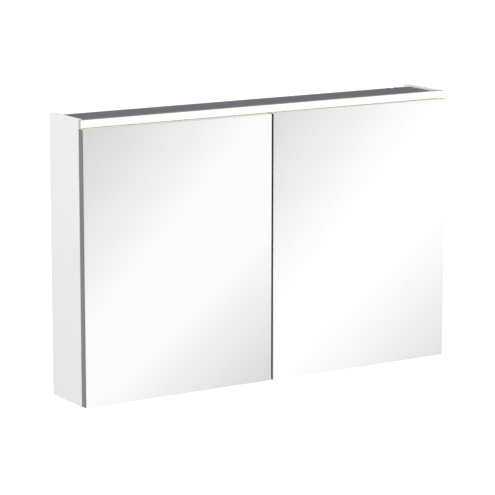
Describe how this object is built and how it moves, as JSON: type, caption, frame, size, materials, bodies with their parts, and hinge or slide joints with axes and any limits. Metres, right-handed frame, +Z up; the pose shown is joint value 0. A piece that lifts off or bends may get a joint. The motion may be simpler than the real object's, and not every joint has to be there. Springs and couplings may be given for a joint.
{
  "type": "lighted mirror cabinet",
  "caption": "Wall-hung bathroom cabinet with mirror doors on concealed hinges, glass shelves inside and a luminous bar across the top; slate top cover over the electrics.",
  "frame": {"origin": "middle of the line of the wall screws, on the wall plane", "axes": "+X to the right as seen from the front, +Y into the wall, +Z up"},
  "size_m": [1, 0.162, 0.66],
  "materials": {
    "white_board": "satin white lacquer",
    "beech": "plain",
    "slate_sheet": "fine powder coat",
    "aluminium_profile": "satin anodised",
    "opal_acrylic": "translucent satin",
    "cap_plastic": "satin",
    "circuit_board": "white solder mask",
    "led": "phosphor",
    "zinc_steel": "zinc plated",
    "dark_steel": "painted like the cover",
    "driver_case": "fine grain",
    "block_plastic": "plain",
    "lead_sheath": "matt",
    "grommet_plastic": "plain",
    "switch_plastic": "gloss",
    "switch_metal": "polished",
    "clear_glass": "polished edges",
    "nickel": "nickel plated",
    "silicone": "clear silicone",
    "frame_metal": "satin anodised",
    "core_board": "white laminate",
    "mirror_glass": "silvered"
  },
  "bodies": {
    "carcass": {"left_side_panel": "white_board", "right_side_panel": "white_board", "bottom_panel": "white_board", "ceiling_panel": "white_board", "centre_partition": "white_board", "back_panel": "white_board", "hanging_rail": "white_board", "carcass_dowels": "beech", "top_cover": "slate_sheet", "light_housing": "aluminium_profile", "light_diffuser": "opal_acrylic", "left_end_cap": "cap_plastic", "right_end_cap": "cap_plastic", "led_board": "circuit_board", "led_chips": "led", "cover_rear_screws": "zinc_steel", "housing_screws": "zinc_steel", "electrics_screws": "zinc_steel", "left_plate_screws": "zinc_steel", "right_plate_screws": "zinc_steel", "left_arm_screws": "zinc_steel", "right_arm_screws": "zinc_steel", "cover_front_screws": "dark_steel", "led_driver": "driver_case", "terminal_block": "block_plastic", "led_lead": "lead_sheath", "supply_lead": "lead_sheath", "switch_lead": "lead_sheath", "cable_grommet": "grommet_plastic", "switch_body": "switch_plastic", "lower_left_shelf": "clear_glass", "upper_left_shelf": "clear_glass", "lower_right_shelf": "clear_glass", "upper_right_shelf": "clear_glass", "shelf_pins": "nickel", "left_hinge_plates": "nickel", "right_hinge_plates": "nickel", "left_hinge_arms": "nickel", "right_hinge_arms": "nickel", "door_bumpers": "silicone"},
    "left_door": {"left_door_frame": "frame_metal", "left_door_core": "core_board", "left_front_mirror": "mirror_glass", "left_rear_mirror": "mirror_glass", "left_hinge_cups": "nickel", "left_hinge_pins": "nickel", "left_cup_screws": "zinc_steel"},
    "right_door": {"right_door_frame": "frame_metal", "right_door_core": "core_board", "right_front_mirror": "mirror_glass", "right_rear_mirror": "mirror_glass", "right_hinge_cups": "nickel", "right_hinge_pins": "nickel", "right_cup_screws": "zinc_steel"},
    "light_button": {"switch_button": "switch_metal"}
  },
  "joints": [
    {"name": "left_door_swing", "type": "hinge", "parent": "carcass", "child": "left_door", "pos_m": [-0.4945, -0.152, 0], "axis": [0, 0, -1], "range_deg": [0, 105]},
    {"name": "right_door_swing", "type": "hinge", "parent": "carcass", "child": "right_door", "pos_m": [0.4945, -0.152, 0], "axis": [0, 0, 1], "range_deg": [0, 105]},
    {"name": "light_button_push", "type": "slide", "parent": "carcass", "child": "light_button", "axis": [0, 0, 1], "range_m": [0, 0.0025], "stiffness_N_per_m": 600}
  ]
}
